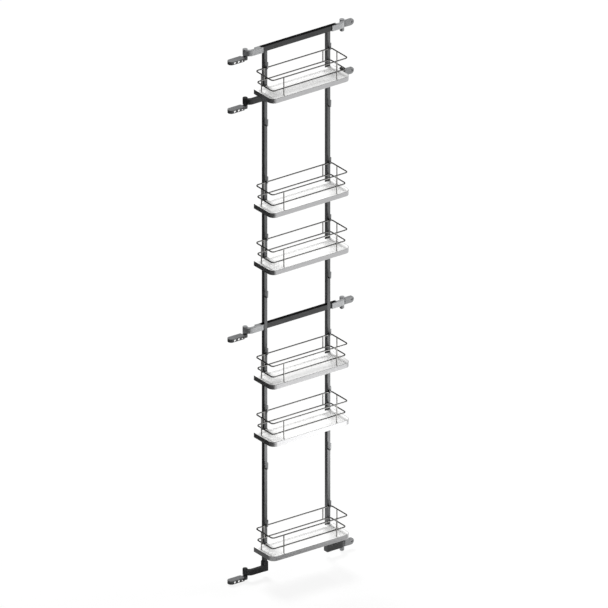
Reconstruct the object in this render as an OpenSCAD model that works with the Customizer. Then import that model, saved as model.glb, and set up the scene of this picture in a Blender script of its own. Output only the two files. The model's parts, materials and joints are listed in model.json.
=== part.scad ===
// Hanging frame of a pull out larder: two uprights with hooks, two rails,
// six railed shelf trays and eight swivelling brackets. Millimetres, +Z up.
// The origin is under the middle of the unit, on the level of its lowest point.

/* [Frame] */
// centre distance of the two uprights
post_pitch = 233.4; // [225:1:245]
// width of an upright tube, seen from the front
post_w = 11; // [10:0.5:13]
// depth of an upright tube
post_d = 14; // [12:0.5:18]
// wall of the upright tubes
post_wall = 1.5; // [1.2:0.1:2]
// height of a rail tube
rail_h = 17; // [15:0.5:19]
// wall of the rail tubes
rail_wall = 1.5; // [1.2:0.1:2]
// how far the rails run past the left upright
rail_over_left = 10.5; // [9:0.5:14]
// how far the rails run past the right upright
rail_over_right = 24; // [12:0.5:26]

/* [Hooks] */
// number of hooks on each upright
hook_count = 9; // [9:1:10]
// distance from one hook to the next
hook_pitch = 190; // [150:1:240]
// from the top of the top rail down to the railing wire in the first hook
first_hook_drop = 70.6; // [60:0.1:90]
// width of a hook
hook_w = 5; // [4:0.5:6]
// thickness of a hook
hook_t = 1.6; // [1.2:0.1:2]
// height of the hook's tongue above the wire
hook_rise = 21; // [14:0.5:24]
// free space between the tongue and the widest wire that lies in a hook
hook_play = 0.3; // [0.2:0.05:1.5]
// how far the tongue leans out at its top
hook_lean = 1.2; // [0:0.1:2]

/* [Arms] */
// from a hook's wire down to the top of the upper and middle arms
arm_below_hook = 90.8; // [88:0.1:96]
// from the last hook's wire down to the top of the bottom arms
bottom_arm_below_hook = 134.2; // [125:0.1:160]
// from the left upright's outer face out to the swivel axis
pivot_out_left = 59.5; // [52:0.5:66]
// from the right upright's outer face out to the swivel axis
pivot_out_right = 55; // [52:0.5:66]
// from the uprights' front plane back to the swivel axis
pivot_back = 17; // [15:0.5:20]
// radius of the boss round the swivel pin
boss_r = 7.8; // [7:0.1:9]
// how far the boss stands up over the arm
boss_up = 2.6; // [0:0.2:4]
// thickness of an arm, front to back
arm_t = 10.2; // [8:0.1:12]
// height of the light arms on the rails
light_arm_h = 18.2; // [18:0.1:20.5]
// wall of the light arms in front of a rail
arm_front = 3; // [2:0.1:4]
// from an upright's outer face to the start of that front wall
arm_front_start = 5.4; // [4:0.1:7]
// how far the full depth of a light arm reaches out
arm_block_out = 28; // [27:0.5:32]
// height of the dark arms on the uprights
dark_arm_h = 18; // [17.5:0.1:21]
// wall of the dark arms' sleeves
sleeve_wall = 1.8; // [1.4:0.1:2.4]
// height of the sleeves
sleeve_h = 31; // [28:0.5:36]
// floor of the bottom sleeves
sleeve_floor = 2; // [1.5:0.1:3]
// length of the tenon of a light arm inside the rail
tenon_l = 8; // [6:0.5:8.5]

/* [Swivels] */
// radius of the swivel pins
pin_r = 3; // [2.5:0.1:3.4]
// from the top of an arm down to the top of a bracket
bracket_drop = 22.2; // [21.8:0.1:24]
// outer radius of the swivel washers
washer_r = 4.8; // [4.4:0.1:5.4]
// radial clearance of a bracket on its pin
swivel_gap = 0.05; // [0.03:0.01:0.1]

/* [Left brackets] */
// height of a left bracket
lbr_h = 10.8; // [10:0.1:14]
// half depth of a left bracket, which is also its end radius
lbr_r = 11.4; // [10.5:0.1:13]
// from the swivel axis to the centre of the rounded end
lbr_l = 51.5; // [50:0.5:60]
// wall of a left bracket
lbr_wall = 2; // [1.6:0.1:2.2]
// from the swivel axis to the first screw hole
lbr_hole_1 = 16; // [15:0.5:18]
// distance of the screw holes
lbr_hole_pitch = 14.5; // [12:0.5:15]
// radius of the screw holes in the back wall
lbr_hole_r = 2.5; // [2:0.1:3]
// radius of the screwdriver holes in the front wall
lbr_access_r = 3.6; // [3.2:0.1:3.8]

/* [Right brackets] */
// height of the knuckle below an arm
rbr_knuckle_h = 13; // [11:0.5:16]
// radius of the knuckle
rbr_knuckle_r = 7; // [5:0.1:7.4]
// thickness of the eye plate
eye_t = 7; // [6:0.5:10]
// radius of the eye
eye_r = 10.7; // [10:0.1:12]
// from the swivel axis out to the eye's centre
eye_out = 31.5; // [27:0.5:34]
// from the eye's centre further out to its hole
eye_hole_shift = 2.5; // [0:0.5:3]
// from the top of the arm down to the eye's centre
eye_drop = 14.4; // [13.6:0.1:17]
// radius of the hole in the eye
eye_hole_r = 3.3; // [2.5:0.1:4]

/* [Trays] */
// length of a shelf board with its edge band
tray_l = 293.3; // [280:1:310]
// depth of a shelf board with its edge band
tray_d = 94.1; // [85:1:110]
// thickness of a shelf board
board_t = 15; // [12:0.5:18]
// radius of the board's two front corners
corner_r = 20; // [16:0.5:24]
// thickness of the edge band
band_t = 1; // [0.6:0.1:1.5]
// how far the boards run past the middle of the right upright
tray_over_right = 13.4; // [12.6:0.2:24]

/* [Railings] */
// wire diameter of the two loops
wire_d = 4.2; // [3.6:0.1:4.6]
// wire diameter of the uprights
stay_d = 4; // [3.4:0.1:4.2]
// from the side edges of the board in to the upper loop's wire
rail_inset_side = 7; // [6:0.1:8]
// from the front edge of the board in to the upper loop's wire
rail_inset_front = 7.6; // [6.5:0.1:9]
// height of the upper loop's wire over the board
rail_top = 59.5; // [52:0.5:66]
// from the upper loop down to the lower loop
rail_step = 37.8; // [32:0.2:42]
// how far the lower loop lies inside the upper one
loop_inset = 4; // [3.9:0.02:4.04]
// bend radius of the wire at the loop's corners
bend_r = 9; // [7:0.5:9]
// from the loop's ends in to the front uprights
stay_in_front = 42; // [30:1:60]
// free space between the left hook and the left back upright
stay_off_hook = 4.4; // [1:0.2:10]
// from the back wire forward to the side uprights
stay_in_side = 30; // [20:1:40]
// radius of the nuts' counterbores under the board
nut_bore_r = 4.8; // [4.5:0.1:5]
// depth of the nuts' counterbores
nut_bore_h = 5; // [4.6:0.1:6]

/* [Hidden] */
$fn = 48;
seats = [1, 3, 4, 6, 7, 9];                   // hooks that carry a tray, from the top
fit = 0.05;                                   // clearance of pieces that sit in each other
wire_r = wire_d / 2;
stay_r = stay_d / 2;
wire_y = wire_r + fit;                        // the back wires lean on the uprights
post_x = post_pitch / 2;                      // centre of an upright
face_x = post_x + post_w / 2;                 // outer face of an upright
last_hook_drop = first_hook_drop + (hook_count - 1) * hook_pitch;
upper_arm_drop = first_hook_drop + arm_below_hook;
mid_rail_drop = first_hook_drop + 4 * hook_pitch + arm_below_hook;
bottom_arm_drop = last_hook_drop + bottom_arm_below_hook;
levels = [0, upper_arm_drop, mid_rail_drop, bottom_arm_drop];
arm_h = [light_arm_h, dark_arm_h, light_arm_h, dark_arm_h];
ring_t = 1;                                   // thickness of a retaining ring
ring_gap = 0.3;                               // from bracket to retaining ring
pin_end = 1.2;                                // pin below its retaining ring
pin_top = 4;                                  // arm left over the pin
knuckle_end = bracket_drop + rbr_knuckle_h;
lbr_end = bracket_drop + lbr_h;
lowest = max(knuckle_end, lbr_end) + ring_gap + ring_t + pin_end;
top_z = bottom_arm_drop + lowest;             // top of the top rail over the lowest point
x_min = -(face_x + pivot_out_left + lbr_l + lbr_r);
x_max = face_x + pivot_out_right + eye_out + eye_r;
y_min = -(tray_d + wire_y);
y_max = pivot_back + max(lbr_r, boss_r);
loop_l = tray_l - 2 * rail_inset_side;
loop_d = tray_d - rail_inset_front;
tray_x0 = post_x + tray_over_right - tray_l;  // left edge of the boards
stay_in_back = -post_x - hook_w / 2 - stay_off_hook - stay_r - tray_x0 - rail_inset_side;
hook_on_bend = max(0, hook_w / 2 - tray_over_right + rail_inset_side + bend_r);
hook_gap = wire_y + bend_r + hook_play        // upright to tongue, past the wire's bend
  - sqrt(max(0, pow(bend_r - wire_r, 2) - pow(hook_on_bend, 2)));
hook_tail_t = 1.2;                            // the hook's tail behind the tube's wall
hook_tail_up = 1.5;                           // its rise and fall there
sleeve_up = [0, 8.5, 0, sleeve_h - dark_arm_h];  // sleeve above the arm's top
eye_gap = 1.8;                                // from the boss to the eye plate
screw_r = 1.75;
head_r = 3.2;
head_h = 2.2;
slot_l = 2.2;                                 // half length of the cross slot in a head
slot_w = 0.4;                                 // its half width
tube_screw_drop = dark_arm_h / 2;             // from a dark arm's top down to its screw
rib_h = 8;                                    // rounded rib from a dark arm up its sleeve
lbr_hole_z = lbr_h - lbr_wall - lbr_access_r - 0.6;  // screw holes over the bracket's foot
nut_r = 4.04;                                 // over the corners
nut_h = 3.2;
disc_r = 4.3;                                 // washer between nut and board
disc_t = 0.8;
stay_end = 0.6;                               // stays end this far above the board's underside

// Puts the working frame (middle of the frame, front plane of the uprights,
// top of the top rail) onto the part's origin.
module place() {
  translate([-(x_min + x_max) / 2, -(y_min + y_max) / 2, top_z]) children();
}

// side = 1 is the right, side = -1 the left; x then runs out from the upright's outer face
function pivot_out(side) = side > 0 ? pivot_out_right : pivot_out_left;
module at_side(side) {
  if (side > 0) translate([face_x, 0, 0]) children();
  else mirror([1, 0, 0]) translate([face_x, 0, 0]) children();
}

// --- uprights and rails ---

module upright(side) {
  foot = bottom_arm_drop + dark_arm_h - sleeve_floor;
  color([0.42, 0.42, 0.43]) place() difference() {
    translate([side * post_x - post_w / 2, 0, -foot]) cube([post_w, post_d, foot - rail_h]);
    translate([side * post_x - post_w / 2 + post_wall, post_wall, -foot - 1])
      cube([post_w - 2 * post_wall, post_d - 2 * post_wall, foot - rail_h + 2]);
    for (i = [0:hook_count - 1])
      translate([side * post_x - hook_w / 2 - fit, -1,
                 -first_hook_drop - i * hook_pitch - wire_r - hook_t - 2 * fit])
        cube([hook_w + 2 * fit, post_wall + 1.5, hook_t + 2 * fit]);
    for (l = [1, 3]) translate([side * post_x, post_d + 1, -levels[l] - tube_screw_drop])
      rotate([90, 0, 0]) cylinder(r = screw_r + fit, h = post_wall + 2);
  }
}

module left_upright() { upright(-1); }
module right_upright() { upright(1); }

module rail_tube(x0, x1, drop) {
  difference() {
    translate([x0, 0, -drop - rail_h]) cube([x1 - x0, post_d, rail_h]);
    translate([x0 - 1, rail_wall, -drop - rail_h + rail_wall])
      cube([x1 - x0 + 2, post_d - 2 * rail_wall, rail_h - 2 * rail_wall]);
    for (s = [-1, 1]) translate([s * rail_screw_x(s), post_d + 1, -drop - rail_h / 2])
      rotate([90, 0, 0]) cylinder(r = screw_r + fit, h = rail_wall + 2);
  }
}

function over(s) = s > 0 ? rail_over_right : rail_over_left;
function rail_screw_x(s) = face_x + over(s) - tenon_l / 2;

module top_rail() {
  color([0.34, 0.34, 0.35]) place()
    rail_tube(-face_x - rail_over_left, face_x + rail_over_right, 0);
}
module middle_rail() {
  color([0.38, 0.38, 0.39]) place()
    rail_tube(-post_x + post_w / 2, post_x - post_w / 2, mid_rail_drop);
}
module middle_rail_stub_left() {
  color([0.38, 0.38, 0.39]) place()
    rail_tube(-face_x - rail_over_left, -face_x, mid_rail_drop);
}
module middle_rail_stub_right() {
  color([0.38, 0.38, 0.39]) place()
    rail_tube(face_x, face_x + rail_over_right, mid_rail_drop);
}

// --- hooks: a tail through the tube wall, a floor and a tongue that leans out ---

module hook() {
  z0 = -wire_r - fit;
  translate([-hook_w / 2, -hook_gap - hook_t, z0 - hook_t])
    cube([hook_w, hook_gap + hook_t + post_wall, hook_t]);
  translate([-hook_w / 2, post_wall, z0 - hook_t - hook_tail_up])
    cube([hook_w, hook_tail_t, hook_t + 2 * hook_tail_up]);
  translate([0, 0, z0 - hook_t]) rotate([90, 0, 90]) translate([0, 0, -hook_w / 2])
    linear_extrude(hook_w) polygon([[-hook_gap, 0], [-hook_gap, hook_t],
      [-hook_gap - hook_lean, hook_t + hook_rise + wire_r],
      [-hook_gap - hook_lean - hook_t, hook_t + hook_rise + wire_r],
      [-hook_gap - hook_t, 0]]);
}

module hooks(side) {
  color([0.40, 0.40, 0.41]) place() for (i = [0:hook_count - 1])
    translate([side * post_x, 0, -first_hook_drop - i * hook_pitch]) hook();
}
module left_hooks() { hooks(-1); }
module right_hooks() { hooks(1); }

// --- arms: out along the rail, a quarter turn to the back, then the boss ---

module arm_plan(side, front, x0) {
  ro = pivot_back + front;
  cx = pivot_out(side) + boss_r - 0.4 - ro;
  translate([x0, -front]) square([cx - x0, arm_t]);
  difference() {
    intersection() {
      translate([cx, pivot_back]) circle(r = ro, $fn = 96);
      translate([cx, pivot_back - ro - 1]) square([ro + 1, ro + 1]);
    }
    translate([cx, pivot_back]) circle(r = ro - arm_t, $fn = 96);
  }
}

module boss(side, h) {
  translate([pivot_out(side), pivot_back, -h]) cylinder(r = boss_r, h = h + boss_up, $fn = 64);
}

module pin_hole(side, h) {
  translate([pivot_out(side), pivot_back, -h - 1]) cylinder(r = pin_r + 0.02, h = h + 1 - pin_top);
}

module light_arm(side, l) {
  stub = over(side);
  color([0.70, 0.70, 0.71]) place() translate([0, 0, -levels[l]]) at_side(side) difference() {
    union() {
      translate([0, 0, -light_arm_h]) linear_extrude(light_arm_h)
        arm_plan(side, arm_front, stub + fit);
      boss(side, light_arm_h);
      translate([stub + fit, -arm_front, -light_arm_h])
        cube([arm_block_out - stub - fit, arm_front + post_d, light_arm_h]);
      translate([arm_front_start, -arm_front, -light_arm_h])
        cube([stub + fit - arm_front_start + 1, arm_front - fit, light_arm_h]);
      translate([arm_front_start, -arm_front, -light_arm_h])
        cube([stub + fit - arm_front_start + 1, arm_front + post_d,
              light_arm_h - rail_h - fit]);
      translate([stub - tenon_l, rail_wall + fit, -rail_h + rail_wall + fit])
        cube([tenon_l + 1, post_d - 2 * (rail_wall + fit), rail_h - 2 * (rail_wall + fit)]);
    }
    pin_hole(side, light_arm_h);
    translate([stub - tenon_l / 2, post_d + 1, -rail_h / 2]) rotate([90, 0, 0])
      cylinder(r = screw_r + fit, h = post_d - 1);
  }
}

module dark_arm(side, l) {
  up = sleeve_up[l];
  color([0.20, 0.20, 0.21]) place() translate([0, 0, -levels[l]]) at_side(side) difference() {
    union() {
      translate([0, 0, -dark_arm_h]) linear_extrude(dark_arm_h)
        arm_plan(side, sleeve_wall, sleeve_wall - 0.5);
      boss(side, dark_arm_h);
      translate([-post_w - sleeve_wall, -sleeve_wall, up - sleeve_h])
        cube([post_w + 2 * sleeve_wall, post_d + 2 * sleeve_wall, sleeve_h]);
      difference() {
        translate([sleeve_wall - 0.5, -sleeve_wall, -1]) cube([rib_h + 0.5, arm_t, rib_h + 1]);
        translate([sleeve_wall + rib_h, -sleeve_wall - 1, rib_h]) rotate([-90, 0, 0])
          cylinder(r = rib_h, h = arm_t + 2);
      }
    }
    translate([-post_w - fit, -fit, l == 3 ? -dark_arm_h + sleeve_floor : up - sleeve_h - 1])
      cube([post_w + 2 * fit, post_d + 2 * fit, sleeve_h + 2]);
    pin_hole(side, dark_arm_h);
    translate([-post_w / 2, post_d + sleeve_wall + 1, -tube_screw_drop]) rotate([90, 0, 0])
      cylinder(r = screw_r + fit, h = sleeve_wall + 2);
  }
}

module top_arm_left() { light_arm(-1, 0); }
module top_arm_right() { light_arm(1, 0); }
module upper_arm_left() { dark_arm(-1, 1); }
module upper_arm_right() { dark_arm(1, 1); }
module middle_arm_left() { light_arm(-1, 2); }
module middle_arm_right() { light_arm(1, 2); }
module bottom_arm_left() { dark_arm(-1, 3); }
module bottom_arm_right() { dark_arm(1, 3); }

// --- fasteners of the arms ---

module pan_screw(shank) {
  rotate([90, 0, 0]) difference() {
    union() {
      translate([0, 0, -head_h]) cylinder(r = head_r, h = head_h);
      cylinder(r = screw_r, h = shank);
    }
    translate([-slot_l, -slot_w, -head_h - 1]) cube([2 * slot_l, 2 * slot_w, head_h]);
    translate([-slot_w, -slot_l, -head_h - 1]) cube([2 * slot_w, 2 * slot_l, head_h]);
  }
}

module arm_screws() {
  color([0.55, 0.55, 0.56]) place() for (side = [-1, 1]) {
    for (l = [0, 2]) translate([side * rail_screw_x(side), post_d, -levels[l] - rail_h / 2])
      pan_screw(post_d - 3);
    for (l = [1, 3]) translate([side * post_x, post_d + sleeve_wall,
                                -levels[l] - tube_screw_drop])
      pan_screw(sleeve_wall + post_wall + 3);
  }
}

// --- swivel pins, washers and retaining rings ---

function side_end(side) = side > 0 ? knuckle_end : lbr_end;

module at_pivots() {
  for (side = [-1, 1], l = [0:3])
    translate([side * (face_x + pivot_out(side)), pivot_back, -levels[l]]) {
      $side = side;
      $level = l;
      children();
    }
}

module swivel_pins() {
  color([0.50, 0.50, 0.52]) place() at_pivots() {
    bottom = side_end($side) + ring_gap + ring_t + pin_end;
    difference() {
      translate([0, 0, -bottom]) cylinder(r = pin_r, h = bottom - pin_top - fit);
      translate([0, 0, -bottom + pin_end - fit]) difference() {
        cylinder(r = pin_r + 1, h = ring_t + 2 * fit);
        translate([0, 0, -1]) cylinder(r = pin_r - 0.5, h = ring_t + 3);
      }
    }
  }
}

module swivel_washers() {
  color([0.16, 0.16, 0.17]) place() at_pivots() difference() {
    translate([0, 0, -bracket_drop + fit])
      cylinder(r = washer_r, h = bracket_drop - arm_h[$level] - 2 * fit);
    translate([0, 0, -bracket_drop - 1]) cylinder(r = pin_r + fit, h = 6);
  }
}

module retaining_rings() {
  color([0.30, 0.30, 0.31]) place() at_pivots()
    translate([0, 0, -side_end($side) - ring_gap - ring_t]) difference() {
      cylinder(r = pin_r + 1.9, h = ring_t);
      translate([0, 0, -1]) cylinder(r = pin_r - 0.45, h = ring_t + 2);
      translate([0, -0.9, -1]) cube([pin_r + 3, 1.8, ring_t + 2]);
    }
}

// --- left brackets: a channel open at the bottom, screwed on through its back wall ---

module left_bracket(l) {
  color([0.24, 0.24, 0.25]) place()
    translate([-face_x - pivot_out(-1), pivot_back, -levels[l] - lbr_end]) difference() {
      union() {
        cylinder(r = boss_r, h = lbr_h, $fn = 64);
        translate([-lbr_l, -lbr_r, 0]) cube([lbr_l - boss_r - 1, 2 * lbr_r, lbr_h]);
        translate([-lbr_l, 0, 0]) cylinder(r = lbr_r, h = lbr_h, $fn = 96);
        translate([-boss_r - 1.5, -boss_r + 1, 0]) cube([3, 2 * boss_r - 2, lbr_h]);
      }
      translate([-lbr_l, -lbr_r + lbr_wall, -1])
        cube([lbr_l - boss_r - 1 - lbr_wall, 2 * (lbr_r - lbr_wall), lbr_h - lbr_wall + 1]);
      translate([-lbr_l, 0, -1])
        cylinder(r = lbr_r - lbr_wall, h = lbr_h - lbr_wall + 1, $fn = 96);
      for (i = [0:2]) translate([-lbr_hole_1 - i * lbr_hole_pitch, 0, lbr_hole_z]) {
        rotate([-90, 0, 0]) cylinder(r = lbr_hole_r, h = lbr_r + 1, $fn = 48);
        rotate([90, 0, 0]) cylinder(r = lbr_access_r, h = lbr_r + 1, $fn = 48);
      }
      translate([0, 0, -1]) cylinder(r = pin_r + swivel_gap, h = lbr_h + 2);
    }
}

module left_bracket_top() { left_bracket(0); }
module left_bracket_upper() { left_bracket(1); }
module left_bracket_middle() { left_bracket(2); }
module left_bracket_bottom() { left_bracket(3); }

// --- right brackets: a knuckle under the arm, a web and an upright eye plate ---

module right_bracket(l) {
  plate_x = boss_r + eye_gap;
  color([0.45, 0.45, 0.46]) place()
    translate([face_x + pivot_out(1), pivot_back, -levels[l]]) difference() {
      union() {
        translate([0, 0, -knuckle_end]) cylinder(r = rbr_knuckle_r, h = rbr_knuckle_h);
        translate([0, -eye_t / 2, -eye_drop - eye_r])
          cube([eye_out, eye_t, eye_drop + eye_r - bracket_drop]);
        translate([plate_x, -eye_t / 2, -eye_drop - eye_r])
          cube([eye_out - plate_x, eye_t, 2 * eye_r]);
        translate([eye_out, -eye_t / 2, -eye_drop]) rotate([-90, 0, 0])
          cylinder(r = eye_r, h = eye_t, $fn = 96);
      }
      translate([0, 0, -knuckle_end - 1])
        cylinder(r = pin_r + swivel_gap, h = knuckle_end - bracket_drop + 8);
      translate([eye_out + eye_hole_shift, -eye_t / 2 - 1, -eye_drop]) rotate([-90, 0, 0])
        cylinder(r = eye_hole_r, h = eye_t + 2);
    }
}

module right_bracket_top() { right_bracket(0); }
module right_bracket_upper() { right_bracket(1); }
module right_bracket_middle() { right_bracket(2); }
module right_bracket_bottom() { right_bracket(3); }

// --- trays ---

// x from the board's left edge, y from the back wires forward (negative), z from the
// upper loop's wire
module at_tray(n) {
  translate([tray_x0, -wire_y, -first_hook_drop - (seats[n - 1] - 1) * hook_pitch]) children();
}

// outline of the board, drawn in by i; its back edge stays square
module outline(i) {
  r = corner_r - i;
  translate([i, -tray_d + corner_r]) square([tray_l - 2 * i, tray_d - corner_r]);
  translate([corner_r, -tray_d + i]) square([tray_l - 2 * corner_r, corner_r]);
  for (x = [corner_r, tray_l - corner_r]) translate([x, -tray_d + corner_r])
    circle(r = r, $fn = 96);
}

// x, y of the four uprights that stand in the board
stays = [[rail_inset_side + stay_in_front, -loop_d],
         [rail_inset_side + loop_l - stay_in_front, -loop_d],
         [rail_inset_side, -stay_in_side], [rail_inset_side + loop_l, -stay_in_side]];

module board(n) {
  color([0.97, 0.97, 0.97]) place() at_tray(n) difference() {
    translate([0, 0, -rail_top - board_t]) linear_extrude(board_t) outline(band_t + 0.02);
    for (p = stays) translate([p[0], p[1], -rail_top - board_t - 1]) {
      cylinder(r = stay_r + fit, h = board_t + 2);
      cylinder(r = nut_bore_r, h = nut_bore_h + 1);
    }
  }
}

module edge_band(n) {
  color([0.66, 0.66, 0.67]) place() at_tray(n)
    translate([0, 0, -rail_top - board_t]) linear_extrude(board_t) difference() {
      outline(0);
      outline(band_t);
      translate([band_t, -1]) square([tray_l - 2 * band_t, 2]);
    }
}

module bar(a, b, r) {
  d = b - a;
  len = norm(d);
  translate(a) rotate([0, acos(d[2] / len), atan2(d[1], d[0])]) cylinder(r = r, h = len);
}

// one closed wire loop, x0..x1 by y0..0, with bent corners
module wire_loop(x0, x1, y0, z) {
  r = bend_r;
  bar([x0 + r, 0, z], [x1 - r, 0, z], wire_r);
  bar([x0 + r, y0, z], [x1 - r, y0, z], wire_r);
  bar([x0, y0 + r, z], [x0, -r, z], wire_r);
  bar([x1, y0 + r, z], [x1, -r, z], wire_r);
  for (c = [[x1 - r, -r, 0], [x0 + r, -r, 90], [x0 + r, y0 + r, 180], [x1 - r, y0 + r, 270]])
    translate([c[0], c[1], z]) rotate([0, 0, c[2]]) rotate_extrude(angle = 90, $fn = 96)
      translate([r, 0]) circle(r = wire_r, $fn = 48);
}

module railing(n) {
  x0 = rail_inset_side;
  x1 = rail_inset_side + loop_l;
  color([0.62, 0.62, 0.63]) place() at_tray(n) {
    wire_loop(x0, x1, -loop_d, 0);
    wire_loop(x0 + loop_inset, x1 - loop_inset, -loop_d + loop_inset, -rail_step);
    for (p = stays) translate([p[0], p[1], -rail_top - board_t + stay_end])
      cylinder(r = stay_r, h = rail_top + board_t - stay_end);
    for (x = [x0 + stay_in_back, x1 - stay_in_back]) translate([x, 0, -rail_step])
      cylinder(r = stay_r, h = rail_step);
  }
}

module nuts(n) {
  color([0.60, 0.60, 0.61]) place() at_tray(n) for (p = stays)
    translate([p[0], p[1], -rail_top - board_t + nut_bore_h - disc_t - fit - nut_h])
      difference() {
        cylinder(r = nut_r, h = nut_h, $fn = 6);
        translate([0, 0, -1]) cylinder(r = stay_r + 0.02, h = nut_h + 2);
      }
}

module washers(n) {
  color([0.60, 0.60, 0.61]) place() at_tray(n) for (p = stays)
    translate([p[0], p[1], -rail_top - board_t + nut_bore_h - disc_t]) difference() {
      cylinder(r = disc_r, h = disc_t);
      translate([0, 0, -1]) cylinder(r = stay_r + fit, h = disc_t + 2);
    }
}

module tray_1_board() { board(1); }
module tray_1_edge_band() { edge_band(1); }
module tray_1_railing() { railing(1); }
module tray_1_nuts() { nuts(1); }
module tray_1_washers() { washers(1); }
module tray_2_board() { board(2); }
module tray_2_edge_band() { edge_band(2); }
module tray_2_railing() { railing(2); }
module tray_2_nuts() { nuts(2); }
module tray_2_washers() { washers(2); }
module tray_3_board() { board(3); }
module tray_3_edge_band() { edge_band(3); }
module tray_3_railing() { railing(3); }
module tray_3_nuts() { nuts(3); }
module tray_3_washers() { washers(3); }
module tray_4_board() { board(4); }
module tray_4_edge_band() { edge_band(4); }
module tray_4_railing() { railing(4); }
module tray_4_nuts() { nuts(4); }
module tray_4_washers() { washers(4); }
module tray_5_board() { board(5); }
module tray_5_edge_band() { edge_band(5); }
module tray_5_railing() { railing(5); }
module tray_5_nuts() { nuts(5); }
module tray_5_washers() { washers(5); }
module tray_6_board() { board(6); }
module tray_6_edge_band() { edge_band(6); }
module tray_6_railing() { railing(6); }
module tray_6_nuts() { nuts(6); }
module tray_6_washers() { washers(6); }

left_upright();
right_upright();
top_rail();
middle_rail();
middle_rail_stub_left();
middle_rail_stub_right();
left_hooks();
right_hooks();
top_arm_left();
top_arm_right();
upper_arm_left();
upper_arm_right();
middle_arm_left();
middle_arm_right();
bottom_arm_left();
bottom_arm_right();
arm_screws();
swivel_pins();
swivel_washers();
retaining_rings();
left_bracket_top();
left_bracket_upper();
left_bracket_middle();
left_bracket_bottom();
right_bracket_top();
right_bracket_upper();
right_bracket_middle();
right_bracket_bottom();
tray_1_board();
tray_1_edge_band();
tray_1_railing();
tray_1_nuts();
tray_1_washers();
tray_2_board();
tray_2_edge_band();
tray_2_railing();
tray_2_nuts();
tray_2_washers();
tray_3_board();
tray_3_edge_band();
tray_3_railing();
tray_3_nuts();
tray_3_washers();
tray_4_board();
tray_4_edge_band();
tray_4_railing();
tray_4_nuts();
tray_4_washers();
tray_5_board();
tray_5_edge_band();
tray_5_railing();
tray_5_nuts();
tray_5_washers();
tray_6_board();
tray_6_edge_band();
tray_6_railing();
tray_6_nuts();
tray_6_washers();
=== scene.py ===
import json
import math

import bmesh
import bpy
from mathutils import Matrix, Vector


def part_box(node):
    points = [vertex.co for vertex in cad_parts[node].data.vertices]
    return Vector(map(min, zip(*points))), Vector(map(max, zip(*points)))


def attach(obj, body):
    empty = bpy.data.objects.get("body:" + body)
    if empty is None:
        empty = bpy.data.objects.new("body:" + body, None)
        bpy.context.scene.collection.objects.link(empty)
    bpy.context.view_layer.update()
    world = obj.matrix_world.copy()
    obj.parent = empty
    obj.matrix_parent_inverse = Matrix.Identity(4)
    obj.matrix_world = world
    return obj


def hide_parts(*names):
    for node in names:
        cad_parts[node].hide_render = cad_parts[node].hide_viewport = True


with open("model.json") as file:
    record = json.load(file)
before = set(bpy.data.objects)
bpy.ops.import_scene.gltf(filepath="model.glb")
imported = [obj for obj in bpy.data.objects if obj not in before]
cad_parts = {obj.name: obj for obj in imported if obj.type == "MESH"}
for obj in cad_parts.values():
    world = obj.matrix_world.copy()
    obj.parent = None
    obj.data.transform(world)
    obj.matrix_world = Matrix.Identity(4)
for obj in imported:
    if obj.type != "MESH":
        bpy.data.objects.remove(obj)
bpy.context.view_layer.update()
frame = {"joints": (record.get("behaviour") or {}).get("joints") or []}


# --- camera ---
# The photograph is a parallel projection of the whole unit from the front left and a little
# above, so the camera is orthographic. It looks at the point that is in the picture's centre.
PHOTO_SIDE = 608
METRES_PER_PIXEL = 0.003005
CAMERA_AWAY = 4
CAMERA_REACH = 100
azimuth, elevation = math.radians(-35.8), math.radians(25.2)
towards_camera = Vector((math.sin(azimuth) * math.cos(elevation),
                         -math.cos(azimuth) * math.cos(elevation), math.sin(elevation)))
photo_centre = Vector((0.0125, 0, 0.8871))

bpy.ops.object.camera_add()
camera = bpy.context.object
camera.name = "photo_camera"
camera.data.type = "ORTHO"
camera.data.ortho_scale = PHOTO_SIDE * METRES_PER_PIXEL
camera.data.clip_end = CAMERA_REACH
camera.location = photo_centre + towards_camera * CAMERA_AWAY
camera.rotation_mode = "QUATERNION"
camera.rotation_quaternion = (-towards_camera).to_track_quat("-Z", "Y")
bpy.context.scene.camera = camera
bpy.context.scene.view_settings.view_transform = "Standard"


# --- floor, world and lamps ---
# A plain white floor that runs on to the horizon, so that it is the whole background. For the
# eye and in metal it glows, which keeps it white, and it still takes a faint shadow.
class Shade:
    """A socket in a material's node tree. Python's operators on it add Math nodes."""

    def __init__(self, tree, socket=None):
        self.tree = tree
        self.socket = socket

    def node(self, kind, settings=None, out=0, **inputs):
        """Adds a node of that type: first its settings, then its inputs, by name or as iN."""
        made = self.tree.nodes.new(kind)
        for name, value in (settings or {}).items():
            setattr(made, name, value)
        for name, value in inputs.items():
            key = int(name[1:]) if name[1:].isdigit() else name.replace("_", " ")
            if isinstance(value, Shade):
                self.tree.links.new(value.socket, made.inputs[key])
            else:
                made.inputs[key].default_value = value
        return Shade(self.tree, made.outputs[out] if made.outputs else None)

    def maths(self, operation, a, b=0.0):
        return self.node("ShaderNodeMath", {"operation": operation}, i0=a, i1=b)

    def __add__(self, other):
        return self.maths("ADD", self, other)

    def __sub__(self, other):
        return self.maths("SUBTRACT", self, other)

    def __rsub__(self, other):
        return self.maths("SUBTRACT", other, self)

    def __mul__(self, other):
        return self.maths("MULTIPLY", self, other)

    __radd__ = __add__
    __rmul__ = __mul__


def new_material(name):
    """An empty material, and a Shade that adds nodes to it."""
    material = bpy.data.materials.new(name)
    material.use_nodes = True
    material.node_tree.nodes.clear()
    return material, Shade(material.node_tree)


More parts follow.
